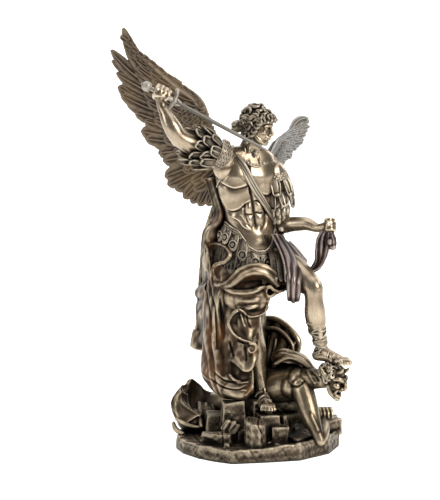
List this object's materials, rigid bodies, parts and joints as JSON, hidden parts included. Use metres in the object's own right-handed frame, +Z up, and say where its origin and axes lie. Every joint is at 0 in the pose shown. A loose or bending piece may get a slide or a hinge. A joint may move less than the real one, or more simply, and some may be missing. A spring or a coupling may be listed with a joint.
{
  "type": "archangel statuette",
  "caption": "Cast bronze-finish statuette of a winged armoured archangel raising a sword, one foot on a fallen bat-winged demon, on a low polygonal rocky base.",
  "frame": {"origin": "a point on the flat underside of the base, below the figure", "axes": "+Z up; the figure is seen from its front along +Y; +X is to the viewer's right, where the demon's head lies"},
  "size_m": [0.2009, 0.1944, 0.3527],
  "materials": {
    "bronze": "antique bronze: dark brown in the recesses, rubbed pale gold on the high places",
    "blade": "rubbed pale bronze, slightly grey"
  },
  "bodies": {
    "root": {"statue": "bronze", "sword": "blade"}
  },
  "joints": []
}
